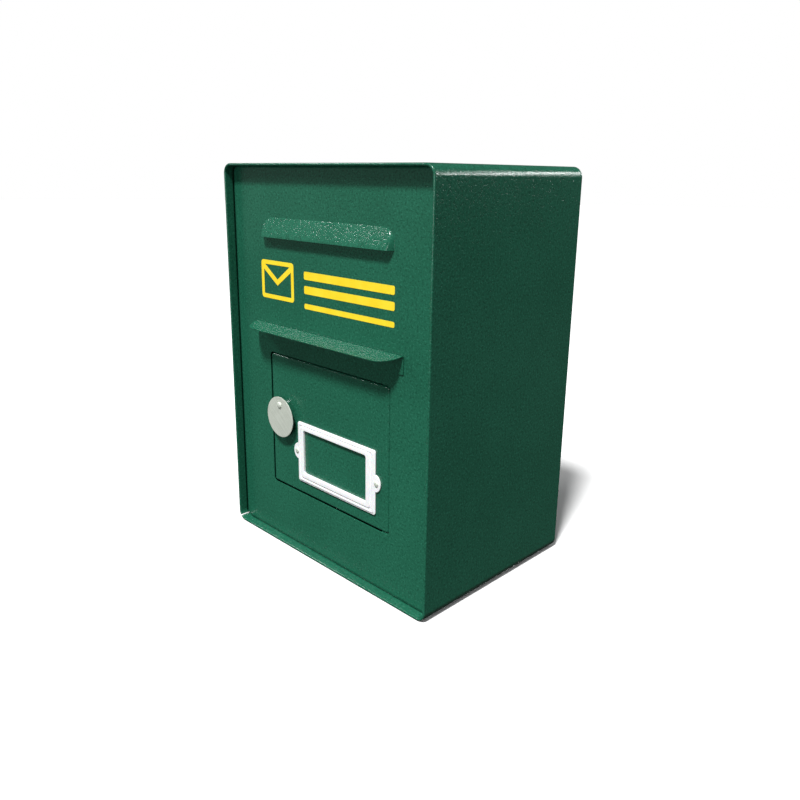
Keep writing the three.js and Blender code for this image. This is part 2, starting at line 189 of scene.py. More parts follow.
def lay_floor():
    floor = bmesh.new()
    bmesh.ops.create_circle(floor, cap_ends=True, radius=FLOOR_RADIUS, segments=96)
    mesh = bpy.data.meshes.new("floor")
    floor.to_mesh(mesh)
    floor.free()
    mesh.transform(Matrix.Translation((0, 0, -FLOOR_DROP)))
    pale = bpy.data.materials.new("pale_floor")
    pale.use_nodes = True
    tree = pale.node_tree
    tree.nodes.remove(tree.nodes["Principled BSDF"])
    shaders = []
    for brightness in (FLOOR_SEEN, FLOOR_LIT):
        shader = tree.nodes.new("ShaderNodeBsdfDiffuse")
        shader.inputs["Color"].default_value = (brightness, brightness, brightness, 1)
        shaders.append(shader)
    tree.links.new(seen_and_lit(tree, *shaders), tree.nodes["Material Output"].inputs["Surface"])
    mesh.materials.append(pale)
    made = bpy.data.objects.new("floor", mesh)
    bpy.context.scene.collection.objects.link(made)


# ---------------------------------------------------------------- finishes
class Finish:
    """A material whose patterns are laid out in millimetres in the part's own frame."""

    def __init__(self, name, **sockets):
        self.material = bpy.data.materials.new(name)
        self.material.use_nodes = True
        self.nodes = self.material.node_tree.nodes
        self.links = self.material.node_tree.links
        self.shader = self.nodes["Principled BSDF"]
        self.heights = []
        for socket, value in sockets.items():
            self.shader.inputs[socket.replace("_", " ")].default_value = value
        coordinates = self.nodes.new("ShaderNodeTexCoord")
        self.place = coordinates.outputs["Object"]

    def node(self, kind, inputs=None, **settings):
        made = self.nodes.new("ShaderNode" + kind)
        for name, value in settings.items():
            setattr(made, name, value)
        for socket, value in (inputs or {}).items():
            if isinstance(value, bpy.types.NodeSocket):
                self.links.new(value, made.inputs[socket])
            else:
                made.inputs[socket].default_value = value
        return made

    def millimetres(self, turn=(0, 0, 0), stretch=(1, 1, 1)):
        """Object coordinates in millimetres, turned and then stretched."""
        turned = self.node("Mapping", {"Vector": self.place, "Rotation": turn})
        scale = tuple(s / MM for s in stretch)
        return self.node("Mapping", {"Vector": turned.outputs[0], "Scale": scale}).outputs[0]

    def noise(self, size, detail=2.0, rough=0.5, place=None):
        """Soft noise whose blobs are about size millimetres across."""
        inputs = {
            "Vector": place or self.millimetres(),
            "Scale": 1 / size,
            "Detail": detail,
            "Roughness": rough,
        }
        return self.node("TexNoise", inputs).outputs["Fac"]

    def math(self, operation, a, b):
        return self.node("Math", {0: a, 1: b}, operation=operation).outputs[0]

    def steps(self, value, low, high, out_low=0.0, out_high=1.0):
        inputs = {
            "Value": value,
            "From Min": low,
            "From Max": high,
            "To Min": out_low,
            "To Max": out_high,
        }
        return self.node("MapRange", inputs, interpolation_type="SMOOTHSTEP").outputs[0]

    def blend(self, factor, first, second):
        """Mixes two colours, each a tuple or a socket."""
        made = self.node("Mix", data_type="RGBA")
        for index, value in ((0, factor), (6, first), (7, second)):
            if isinstance(value, bpy.types.NodeSocket):
                self.links.new(value, made.inputs[index])
            else:
                made.inputs[index].default_value = (*value, 1) if index else value
        return made.outputs[2]

    def colour(self, socket):
        self.links.new(socket, self.shader.inputs["Base Color"])

    def roughness(self, socket):
        self.links.new(socket, self.shader.inputs["Roughness"])

    def relief(self, height, millimetres):
        """Lays a bump of that height over what is there already."""
        inputs = {"Height": height, "Distance": millimetres * MM, "Strength": 1.0}
        if self.heights:
            inputs["Normal"] = self.heights[-1]
        self.heights.append(self.node("Bump", inputs).outputs[0])
        self.links.new(self.heights[-1], self.shader.inputs["Normal"])


def powder_coat():
    """Dark green powder coat: a coarse orange peel, a fine grain, soft clouds and a few nibs. The
    grain's low spots are painted darker as painted shade, and its ridges paler as a painted
    highlight.
    """
    coat = Finish("green_powder_coat", Specular_IOR_Level=0.5)
    clouds = coat.noise(70, detail=3)
    shade = coat.blend(coat.steps(clouds, 0.3, 0.7), GREEN_DEEP, GREEN)
    peel = coat.noise(2.6, detail=1)
    pits_and_pit_shade = coat.steps(coat.noise(2.7, detail=2, rough=0.6), 0.36, 0.50)
    ridges_and_ridge_highlight = coat.steps(coat.noise(2.3, detail=2, rough=0.6), 0.52, 0.66)
    # Painted shade: where the pit relief sits low, the coat is coloured a darker green.
    pit_shaded = coat.blend(coat.steps(pits_and_pit_shade, 0, 1, 0.75, 0), shade, GREEN_PIT_SHADE)
    # Painted highlight: where the ridge relief stands up, the coat is coloured a paler green.
    coat.colour(coat.blend(coat.steps(ridges_and_ridge_highlight, 0, 1, 0, 0.5), pit_shaded, GREEN_RIDGE_HIGHLIGHT))
    coat.relief(peel, 0.05)
    coat.relief(pits_and_pit_shade, 0.06)
    coat.relief(ridges_and_ridge_highlight, 0.045)
    spots = coat.node("TexVoronoi", {"Vector": coat.millimetres(), "Scale": 1 / 42})
    draw = coat.node("SeparateColor", {0: spots.outputs["Color"]}).outputs[0]
    nib = coat.steps(spots.outputs["Distance"], 0.006, 0.016, 1, 0)
    coat.relief(coat.math("MULTIPLY", nib, coat.math("GREATER_THAN", draw, 0.55)), 0.3)
    coat.roughness(coat.steps(coat.noise(6, detail=2), 0.3, 0.7, 0.18, 0.22))
    return coat.material


def moulded_white():
    """White moulded plastic with a faint eggshell surface and a slightly greyer drift of tone."""
    soft = {"Subsurface_Weight": 0.08, "Subsurface_Scale": 0.002}
    white = Finish("white_plastic", Specular_IOR_Level=0.5, **soft)
    drift = white.noise(9, detail=2)
    white.colour(white.blend(white.steps(drift, 0.3, 0.7), (0.88, 0.90, 0.92), (0.94, 0.945, 0.95)))
    white.relief(white.noise(0.5, detail=2), 0.012)
    white.relief(white.noise(3.0, detail=1), 0.02)
    white.roughness(white.steps(white.noise(4), 0.3, 0.7, 0.34, 0.46))
    return white.material


def yellow_film():
    """Yellow film over powder coat: the orange peel beneath shows through it."""
    film = Finish("yellow_film", Specular_IOR_Level=0.45)
    clouds = film.noise(18, detail=2)
    film.colour(film.blend(film.steps(clouds, 0.3, 0.7), (0.96, 0.70, 0.020), (0.98, 0.76, 0.035)))
    film.relief(film.noise(2.3, detail=2, rough=0.45), 0.05)
    film.relief(film.noise(0.8), 0.015)
    film.roughness(film.steps(film.noise(5), 0.3, 0.7, 0.42, 0.52))
    return film.material


def brushed_stainless():
    """Stainless steel brushed in one direction, with finer and coarser strokes and a dull bloom."""
    steel = Finish("stainless", Metallic=0.4, Anisotropic=0.5)
    strokes = steel.millimetres(turn=(0, math.radians(-38), 0), stretch=(0.035, 1, 1))
    fine = steel.noise(0.22, detail=3, rough=0.7, place=strokes)
    coarse = steel.noise(0.9, detail=2, place=strokes)
    bloom = steel.noise(7, detail=3)
    tone = steel.blend(steel.steps(coarse, 0.3, 0.7), (0.66, 0.72, 0.62), (0.78, 0.84, 0.74))
    steel.colour(steel.blend(steel.steps(fine, 0.35, 0.7, 0, 0.5), tone, (0.90, 0.94, 0.86)))
    steel.relief(fine, 0.012)
    steel.relief(coarse, 0.008)
    steel.roughness(steel.steps(bloom, 0.3, 0.75, 0.36, 0.52))
    return steel.material


def zinc_plate():
    """Bright zinc plating with a faint crystalline mottle."""
    zinc = Finish("zinc_plated", Metallic=1.0)
    spangle = zinc.node("TexVoronoi", {"Vector": zinc.millimetres(), "Scale": 0.8})
    mottle = zinc.node("SeparateColor", {0: spangle.outputs["Color"]}).outputs[0]
    zinc.colour(zinc.blend(mottle, (0.52, 0.54, 0.55), (0.66, 0.68, 0.68)))
    zinc.relief(zinc.noise(0.7, detail=3), 0.01)
    zinc.roughness(zinc.steps(mottle, 0, 1, 0.26, 0.40))
    return zinc.material


GREEN = (0.0155, 0.124, 0.072)
GREEN_DEEP = (0.0130, 0.110, 0.063)
# The next two colours are painted light: a darker green as painted shade in the grain's low spots,
# and a paler green as a painted highlight on its ridges.
GREEN_PIT_SHADE = (0.0080, 0.076, 0.043)
GREEN_RIDGE_HIGHLIGHT = (0.030, 0.195, 0.120)

GREEN_COAT = powder_coat()
WHITE_PLASTIC = moulded_white()
YELLOW_FILM = yellow_film()
STAINLESS = brushed_stainless()
ZINC = zinc_plate()


# ---------------------------------------------------------------- outlines, as (x, z) points
def arc(x, z, radius, start, end, steps):
    turns = [math.radians(start + (end - start) * i / steps) for i in range(steps + 1)]
    return [(x + radius * math.cos(t), z + radius * math.sin(t)) for t in turns]


def circle(x, z, radius, sides=48):
    return arc(x, z, radius, 0, 360 - 360 / sides, sides - 1)


def rounded(left, low, right, high, radius, steps=8):
    """A rectangle with rounded corners, counterclockwise from its low right corner."""
    corners = [
        (right - radius, low + radius, -90),
        (right - radius, high - radius, 0),
        (left + radius, high - radius, 90),
        (left + radius, low + radius, 180),
    ]
    return [p for x, z, a in corners for p in arc(x, z, radius, a, a + 90, steps)]


def eased(points, radii, steps=4):
    """Rounds the corners of a closed outline. A radius of 0 leaves a corner as it is."""
    if not isinstance(radii, (list, tuple)):
        radii = [radii] * len(points)
    made = []
    for i, (point, radius) in enumerate(zip(points, radii)):
        if radius == 0:
            made.append(point)
            continue
        here = Vector(point)
        before = here + (Vector(points[i - 1]) - here).normalized() * radius
        after = here + (Vector(points[(i + 1) % len(points)]) - here).normalized() * radius
        for k in range(steps + 1):
            t = k / steps
            made.append(tuple(before * (1 - t) ** 2 + here * 2 * t * (1 - t) + after * t**2))
    return made


# ---------------------------------------------------------------- mesh work
class Surface:
    """A surface put together from rings of points, in millimetres."""

    def __init__(self):
        self.mesh = bmesh.new()

    def ring(self, outline, y):
        """A closed ring in a plane that faces the front."""
        return [self.mesh.verts.new((x, y, z)) for x, z in outline]

    def row(self, points):
        return [self.mesh.verts.new(p) for p in points]

    def band(self, first, second, closed=True):
        count = len(first)
        for i in range(count if closed else count - 1):
            j = (i + 1) % count
            corners = dict.fromkeys((first[i], first[j], second[j], second[i]))
            if len(corners) > 2:
                self.mesh.faces.new(tuple(corners))

    def bands(self, rings, closed=True):
        for first, second in zip(rings, rings[1:]):
            self.band(first, second, closed)

    def fill(self, rings):
        """Fills a flat face between an outer ring and the rings inside it."""
        edges = []
        for ring in rings:
            for a, b in zip(ring, ring[1:] + ring[:1]):
                edges.append(self.mesh.edges.get((a, b)) or self.mesh.edges.new((a, b)))
        bmesh.ops.triangle_fill(self.mesh, use_beauty=True, edges=edges, normal=(0, -1, 0))


def bake(made):
    """Turns an object and its modifiers into one plain mesh."""
    graph = bpy.context.evaluated_depsgraph_get()
    mesh = bpy.data.meshes.new_from_object(made.evaluated_get(graph))
    made.modifiers.clear()
    made.data = mesh


def new_object(name, mesh, material=None):
    made = bpy.data.objects.new(name, mesh)
    bpy.context.scene.collection.objects.link(made)
    if material:
        mesh.materials.clear()
        mesh.materials.append(material)
    return made


def object_from(name, surface, material, facing=None):
    """Writes a surface in metres, closed with its faces outwards or open and facing one way."""
    mesh = surface.mesh
    bmesh.ops.remove_doubles(mesh, verts=mesh.verts, dist=1e-3)
    bmesh.ops.recalc_face_normals(mesh, faces=mesh.faces)
    if facing:
        area = sum((f.normal * f.calc_area() for f in mesh.faces), Vector())
        if area.dot(Vector(facing)) < 0:
            bmesh.ops.reverse_faces(mesh, faces=mesh.faces)
    bmesh.ops.scale(mesh, vec=(MM, MM, MM), verts=mesh.verts)
    data = bpy.data.meshes.new(name)
    mesh.to_mesh(data)
    mesh.free()
    return new_object(name, data, material)


def even_shading(made, angle=38):
    """Smooth bends, crisp cut edges, and flat faces that stay flat."""
    made.data.shade_smooth()
    made.data.set_sharp_from_angle(angle=math.radians(angle))
    weighted = made.modifiers.new("even_shading", "WEIGHTED_NORMAL")
    weighted.keep_sharp = True
    weighted.weight = 80
    bake(made)


def break_edges(made, width, segments=2, angle=55):
    """Takes the sharpness off the edges of a piece."""
    bevel = made.modifiers.new("broken_edges", "BEVEL")
    bevel.width = width * MM
    bevel.segments = segments
    bevel.limit_method = "ANGLE"
    bevel.angle_limit = math.radians(angle)
    bevel.use_clamp_overlap = False
    bevel.loop_slide = False
    bake(made)


def thicken(made, thick=SHEET, edge=0.22):
    """Gives an open surface the thickness of its sheet, inwards, and breaks its cut edges."""
    solid = made.modifiers.new("sheet", "SOLIDIFY")
    solid.thickness = thick * MM
    solid.offset = -1
    solid.use_even_offset = True
    bake(made)
    break_edges(made, edge)
    even_shading(made)


def place_piece(made, body, slot, *nodes):
    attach(made, body)
    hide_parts(*nodes)


# ---------------------------------------------------------------- node trees
def tree_socket(tree, name, kind):
    return tree.interface.new_socket(name=name, in_out="INPUT", socket_type="NodeSocket" + kind)


def new_tree(name):
    tree = bpy.data.node_groups.new(name, "GeometryNodeTree")
    tree.interface.new_socket(name="Geometry", in_out="INPUT", socket_type="NodeSocketGeometry")
    tree.interface.new_socket(name="Geometry", in_out="OUTPUT", socket_type="NodeSocketGeometry")
    return tree


def finish_tree(tree, given, shape):
    """Ends a tree in Realize Instances and Set Material."""
    realize = tree.nodes.new("GeometryNodeRealizeInstances")
    paint = tree.nodes.new("GeometryNodeSetMaterial")
    out = tree.nodes.new("NodeGroupOutput")
    tree.links.new(shape, realize.inputs["Geometry"])
    tree.links.new(realize.outputs["Geometry"], paint.inputs["Geometry"])
    tree.links.new(given.outputs["Finish"], paint.inputs["Material"])
    tree.links.new(paint.outputs["Geometry"], out.inputs["Geometry"])


def folded_sheet_tree():
    """Carries the section of a folded sheet along its bend line, square to a fixed depth axis."""
    tree = new_tree("folded_sheet")
    tree_socket(tree, "Bend Line", "Object")
    tree_socket(tree, "Section", "Object")
    tree_socket(tree, "Depth Axis", "Vector")
    tree_socket(tree, "Finish", "Material")
    given = tree.nodes.new("NodeGroupInput")
    line = tree.nodes.new("GeometryNodeObjectInfo")
    section = tree.nodes.new("GeometryNodeObjectInfo")
    square = tree.nodes.new("GeometryNodeSetCurveNormal")
    square.mode = "FREE"
    sweep = tree.nodes.new("GeometryNodeCurveToMesh")
    sweep.inputs["Fill Caps"].default_value = True
    tree.links.new(given.outputs["Bend Line"], line.inputs["Object"])
    tree.links.new(given.outputs["Section"], section.inputs["Object"])
    tree.links.new(line.outputs["Geometry"], square.inputs["Curve"])
    tree.links.new(given.outputs["Depth Axis"], square.inputs["Normal"])
    tree.links.new(square.outputs["Curve"], sweep.inputs["Curve"])
    tree.links.new(section.outputs["Geometry"], sweep.inputs["Profile Curve"])
    finish_tree(tree, given, sweep.outputs["Mesh"])
    return tree


def rivets_tree():
    """Sets one rivet on every point."""
    tree = new_tree("rivets_on_points")
    tree_socket(tree, "Rivet", "Object")
    tree_socket(tree, "Finish", "Material")
    given = tree.nodes.new("NodeGroupInput")
    rivet = tree.nodes.new("GeometryNodeObjectInfo")
    rivet.inputs["As Instance"].default_value = True
    copies = tree.nodes.new("GeometryNodeInstanceOnPoints")
    tree.links.new(given.outputs["Rivet"], rivet.inputs["Object"])
    tree.links.new(given.outputs["Geometry"], copies.inputs["Points"])
    tree.links.new(rivet.outputs["Geometry"], copies.inputs["Instance"])
    finish_tree(tree, given, copies.outputs["Instances"])
    return tree


FOLDED_SHEET = folded_sheet_tree()
RIVETS_ON_POINTS = rivets_tree()


def grown(name, mesh, tree, **inputs):
    """An object whose mesh a tree makes, as a plain mesh."""
    made = new_object(name, mesh)
    grow = made.modifiers.new(tree.name, "NODES")
    grow.node_group = tree
    for item in tree.interface.items_tree:
        if item.in_out == "INPUT" and item.name in inputs:
            grow[item.identifier] = inputs[item.name]
    bake(made)
    return made


def line_object(name, points, closed=False):
    data = bpy.data.curves.new(name, "CURVE")
    data.dimensions = "3D"
    spline = data.splines.new("POLY")
    spline.points.add(len(points) - 1)
    for target, point in zip(spline.points, points):
        target.co = (*(Vector(point) * MM), 1)
    spline.use_cyclic_u = closed
    return new_object(name, data)


def folded(name, bend_line, section):
    """A folded sheet: bend_line is its (x, z) path, section its (depth, inward) outline."""
    line = line_object("bend_line", [(x, 0, z) for x, z in bend_line])
    profile = line_object("section", [(y, inward, 0) for y, inward in section], closed=True)
    inputs = {
        "Bend Line": line,
        "Section": profile,
        "Depth Axis": (0, 1, 0),
        "Finish": GREEN_COAT,
    }
    made = grown(name, bpy.data.meshes.new(name), FOLDED_SHEET, **inputs)
    bpy.data.objects.remove(line)
    bpy.data.objects.remove(profile)
    closed = bmesh.new()
    closed.from_mesh(made.data)
    bmesh.ops.remove_doubles(closed, verts=closed.verts, dist=1e-7)
    bmesh.ops.recalc_face_normals(closed, faces=closed.faces)
    closed.to_mesh(made.data)
    closed.free()
    even_shading(made, angle=32)
    return made


# ---------------------------------------------------------------- shell
def hem_section():
    """A sheet from the back edge to the rim, folded back on itself with a thin gap between."""
    rim, back = SHELL_LOW.y, SHELL_HIGH.y
    outer = HEM["thick"] / 2
    inner = outer - SHEET
    turn = rim + outer
    end = rim + HEM["deep"]
    fold = [(turn - outer * math.sin(t), outer - outer * math.cos(t)) for t in half_turn(12)]
    crease = [(turn - inner * math.sin(t), outer + inner * math.cos(t)) for t in half_turn(6)]
    lip = [(end, HEM["thick"]), (end, HEM["thick"] - SHEET)]
    return [(back, 0), *fold, *lip, *crease, (back, SHEET)]


def half_turn(steps):
    return [math.pi * i / steps for i in range(steps + 1)]


def shell_line(start, end):
    """Part of the shell's outline, counterclockwise, from one angle of a lower bend to another."""
    half, high = SHELL_HIGH.x - BEND, SHELL_HIGH.z - BEND
    if start < 0:
        return [
            *arc(half, BEND, BEND, start, 0, 10),
            *arc(half, high, BEND, 0, 90, 18),
            *arc(-half, high, BEND, 90, 180, 18),
            *arc(-half, BEND, BEND, 180, end, 10),
        ]
    return [*arc(-half, BEND, BEND, start, 270, 10), *arc(half, BEND, BEND, 270, end, 10)]


def fold_shell():
    """The wrap and the floor pan, with an open seam between them in each lower bend."""
    slit = math.degrees(math.asin(SEAM / 2 / BEND))
    over = shell_line(slit - SEAM_ANGLE, 180 + SEAM_ANGLE - slit)
    under = shell_line(180 + SEAM_ANGLE + slit, 360 - SEAM_ANGLE - slit)
    for node, line in (("shell_wrap", over), ("floor_pan", under)):
        made = folded(f"{node}_folded", line, hem_section())
        place_piece(made, "cabinet", "green_powder_coat", node)


# ---------------------------------------------------------------- trays
def tray(surface, node, corner, bend, way, holes, face=None, extra=()):
    """A folded tray: flange, bend and a flat face with holes. Way 1 turns its flanges back and
    way -1 turns them forward. bend is how far the edge turns across and in depth. A hole is a
    function that gives its outline, grown by some millimetres. extra rings are left open too."""
    low, high = box_mm(node)
    edge = high.y if way > 0 else low.y
    face = face if face is not None else (low.y if way > 0 else high.y)

    def ring(inset, y):
        sides = (low.x + inset, low.z + inset, high.x - inset, high.z - inset)
        return surface.ring(rounded(*sides, max(corner - inset, 0.4)), y)

    steps = 7
    rings = [ring(0, edge)]
    for i in range(steps + 1):
        turn = math.pi / 2 * i / steps
        inset, back = bend[0] * (1 - math.cos(turn)), bend[1] * (1 - math.sin(turn))
        rings.append(ring(inset, face + way * back))
    surface.bands(rings)
    margins = []
    for hole in holes:
        cut, margin = surface.ring(hole(0), face), surface.ring(hole(HOLE_MARGIN), face)
        surface.band(cut, margin)
        margins.append(margin)
    surface.fill([rings[-1], *margins, *extra])


def round_hole(x, z, radius, sides=32):
    return lambda grow: circle(x, z, radius + grow, sides)


def hood_depth(x, z, out):
    """How far the louvre stands out: a ramp down to its lip, with rounded ends."""
    half, corner, rise = HOOD["half"], HOOD["corner"], HOOD["rise"]
    top = HOOD["low"] + rise
    beside, above = abs(x) - (half - corner), z - (top - corner)
    if beside > 0 and above > 0:
        edge = corner - math.hypot(beside, above)
    else:
        edge = min(half - abs(x), top - z)
    edge = max(edge, 0)
    ramp = out * (top - z) / rise
    end = out * math.sin(min(edge / HOOD["end"], 1) * math.pi / 2)
    soft = min(1.6, 0.8 * edge) + 1e-6
    near = max(soft - abs(ramp - end), 0) / soft
    return min(ramp, end) - near * near * soft / 4


def press_hood(surface, face):
    """The louvre over the letter slot. Returns the ring where the flat panel stops."""
    half, corner, rise = HOOD["half"], HOOD["corner"], HOOD["rise"]
    low, top = HOOD["low"], HOOD["low"] + rise
    out = face - box_mm("front_panel")[0].y
    flat = half - corner
    ends, across, rows = 12, 48, 18
    right = [(half, low), (half, low + HOOD["side"]), *arc(flat, top - corner, corner, 0, 90, ends)]
    middle = [(flat - 2 * flat * i / across, top) for i in range(1, across)]
    left = [(-x, z) for x, z in reversed(right)]
    edge = [*right, *middle, *left]
    wide = half - HOOD["end"]
    columns = []
    for i, (x, z) in enumerate(edge):
        from_end = min(i, len(edge) - 1 - i) / (len(right) - 1)
        lip = math.copysign(half - (half - wide) * from_end, x) if from_end < 1 else x * wide / flat
        column = []
        for k in range(rows + 1):
            t = 1 - (1 - k / rows) ** 1.6 if from_end >= 1 else k / rows
            px, pz = lip + (x - lip) * t, low + (z - low) * t
            column.append((px, face - hood_depth(px, pz, out), pz))
        columns.append(column)
    made = [surface.row(column) for column in columns[1:-1]]
    tips = [surface.mesh.verts.new((x, face, low)) for x in (half, -half)]
    made = [[tips[0]] * (rows + 1), *made, [tips[1]] * (rows + 1)]
    surface.bands(made, closed=False)
    slot = [surface.mesh.verts.new((x, face, low)) for x in (-half * 0.5, half * 0.5)]
    return [column[-1] for column in made] + slot


def press_front_panel():
    surface = Surface()
    low, high = box_mm("door_panel")
    gap = DOOR["gap"]

    def doorway(grow):
        out = gap + grow
        sides = (low.x - out, low.z - out, high.x + out, high.z + out)
        return rounded(*sides, DOOR["corner"] + out)

    hood = press_hood(surface, FACE_Y)
    around = {"face": FACE_Y, "holes": [doorway], "extra": [hood]}
    tray(surface, "front_panel", TRAY["corner"], FRONT_BEND, 1, **around)
    made = object_from("front_panel_pressed", surface, GREEN_COAT, facing=(0, -1, 0))
    thicken(made)
    place_piece(made, "cabinet", "green_powder_coat", "front_panel")


def fold_back_panel():
    surface = Surface()
    holes = [
        round_hole(side * WALL_HOLE["x"], z, WALL_HOLE["radius"])
        for side in (-1, 1)
        for z in WALL_HOLE["heights"]
    ]
    tray(surface, "back_panel", **TRAY, way=-1, holes=holes)
    made = object_from("back_panel_folded", surface, GREEN_COAT, facing=(0, 1, 0))
    thicken(made)
    place_piece(made, "cabinet", "green_powder_coat", "back_panel")


def fold_door_panel():
    surface = Surface()
    holes = [
        round_hole(LOCK_AT.x, LOCK_AT.z, LOCK["body"] + GAP),
        round_hole(COVER_AT.x, COVER_AT.z, COVER_HOLE),
        *[round_hole(at.x, at.z, RIVET_HOLE) for at in RIVETS_AT],
    ]
    tray(surface, "door_panel", DOOR["corner"], DOOR["bend"], 1, holes)
    made = object_from("door_panel_folded", surface, GREEN_COAT, facing=(0, -1, 0))
    thicken(made)
    place_piece(made, "door", "green_powder_coat", "door_panel")


# ---------------------------------------------------------------- rain visor
def fold_visor():
    """A weld flange on the panel, a bend at the top and a sloping plate with rounded corners."""
    low, high = box_mm("visor")
    half, back, root = high.x, high.y, high.z
    slope = math.radians(VISOR["slope"])
    corner, bend = VISOR["corner"], VISOR["bend"]
    reach = (back - low.y - SHEET * math.sin(slope)) / math.cos(slope)
    down = Vector((-math.cos(slope), -math.sin(slope)))
    turn = math.pi / 2 + slope
    start = bend * math.tan(turn / 2)
    centre = Vector((back - bend, root - start))
    steps = 9
    turns = [turn * i / steps for i in range(steps + 1)]
    around = [centre + bend * Vector((math.cos(t), math.sin(t))) for t in turns]
    wide, deep = half - corner, reach - corner
    rounding = [math.pi / 2 * i / 14 for i in range(15)]
    edge = [(wide + corner * math.sin(t), deep + corner * math.cos(t)) for t in rounding]
    columns = [(-x, long) for x, long in reversed(edge)] + edge
    surface = Surface()
    rows = []
    for x, long in columns:
        flat = max(long - start, 0.05)
        plate = [Vector((back, root)) + down * (start + flat * t) for t in (0.25, 0.5, 0.75, 1)]
        section = [Vector((back, low.z)), Vector((back, (low.z + root) / 2)), *around, *plate]
        rows.append(surface.row([(x, y, z) for y, z in section]))
    surface.bands(rows, closed=False)
    made = object_from("visor_folded", surface, GREEN_COAT, facing=(0, 0.3, 1))
    thicken(made)
    place_piece(made, "cabinet", "green_powder_coat", "visor")


# ---------------------------------------------------------------- door stops
def fold_stops():
    """Z strips round the door opening: a weld leg, a web and a stop behind the door's flange."""
    web, lap, weld = STOP["web"], STOP["lap"], STOP["weld"]
    low, high = box_mm("door_stop_left")
    front, rear = low.y, high.y
    section = [
        (front, web - SHEET),
        (front, web - SHEET + weld),
        (front + SHEET, web - SHEET + weld),
        (front + SHEET, web),
        (rear, web),
        (rear, web - lap),
        (rear - SHEET, web - lap),
        (rear - SHEET, web - SHEET),
    ]
    section = eased(section, [1.4, 0.15, 0.15, 0.4, 1.4, 0.15, 0.15, 0.4])
    reach = web - SHEET + weld
    top_low, top_high = box_mm("door_stop_top")
    bottom_low, bottom_high = box_mm("door_stop_bottom")
    beside, above, below = low.x + reach, top_high.z - reach, bottom_low.z + reach
    edges = {
        "door_stop_left": [(beside, low.z), (beside, high.z)],
        "door_stop_top": [(top_low.x, above), (top_high.x, above)],
        "door_stop_bottom": [(bottom_high.x, below), (bottom_low.x, below)],
    }
    for node, line in edges.items():
        made = folded(f"{node}_folded", line, section)
        place_piece(made, "cabinet", "green_powder_coat", node)


# ---------------------------------------------------------------- turned pieces
def turned(name, profile, at, material, sides=48, shape=None):
    """Turns a profile of (radius, y) points about an axis along Y through at. A profile closes on
    itself or runs from the axis to the axis. shape may change a point of a ring, as for a flat."""
    surface = Surface()
    on_axis = profile[0][0] == 0 and profile[-1][0] == 0
    rings = []
    for radius, y in profile:
        if not radius:
            rings.append([surface.mesh.verts.new((at.x, y, at.z))] * sides)
            continue
        ring = circle(0, 0, radius, sides)
        if shape:
            ring = [shape(x, z, y) for x, z in ring]
        rings.append(surface.ring([(at.x + x, at.z + z) for x, z in ring], y))
    surface.bands(rings)
    if not on_axis:
        surface.band(rings[-1], rings[0])
    made = object_from(name, surface, material)
    even_shading(made, angle=30)
    return made


def rivet_profile(head, rise, shank, tail, base, tail_from, tail_to):
    """A domed head, a shank through the sheets and a set tail."""
    turns = [math.pi / 2 * i / 8 for i in range(9)]
    dome = [(head * math.sin(t), base - rise * math.cos(t)) for t in turns]
    dome[0] = (0, base - rise)
    corners = [(shank, base), (shank, tail_from), (tail, tail_from), (tail, tail_to)]
    rest = eased(corners, [0, 0, 0.15, 0.4])
    return [*dome, (head - 0.12, base + 0.12), (shank, base + 0.12), *rest[1:], (0, tail_to)]


def set_rivets():
    """The two rivets of the card frame, and the one that the keyhole cover swings on."""
    low, high = box_mm("card_frame_rivet_left")
    back = SHEET + GAP
    base = low.y - FACE_Y + FRAME_RIVET["rise"]
    small = rivet_profile(**FRAME_RIVET, base=base, tail_from=back, tail_to=high.y - FACE_Y)
    pattern = turned("rivet_pattern", small, Vector((0, 0, 0)), STAINLESS, sides=32)
    points = bmesh.new()
    for at in RIVETS_AT:
        points.verts.new(Vector((at.x, FACE_Y, at.z)) * MM)
    spots = bpy.data.meshes.new("rivet_points")
    points.to_mesh(spots)
    points.free()
    made = grown("card_frame_rivets", spots, RIVETS_ON_POINTS, Rivet=pattern, Finish=STAINLESS)
    bpy.data.objects.remove(pattern)
    place_piece(made, "door", "stainless", "card_frame_rivet_left", "card_frame_rivet_right")

    low, high = box_mm("cover_rivet")
    base = low.y + COVER_RIVET["rise"]
    large = rivet_profile(**COVER_RIVET, base=base, tail_from=FACE_Y + back, tail_to=high.y)
    made = turned("cover_rivet_set", large, COVER_AT, STAINLESS)
    place_piece(made, "door", "stainless", "cover_rivet")


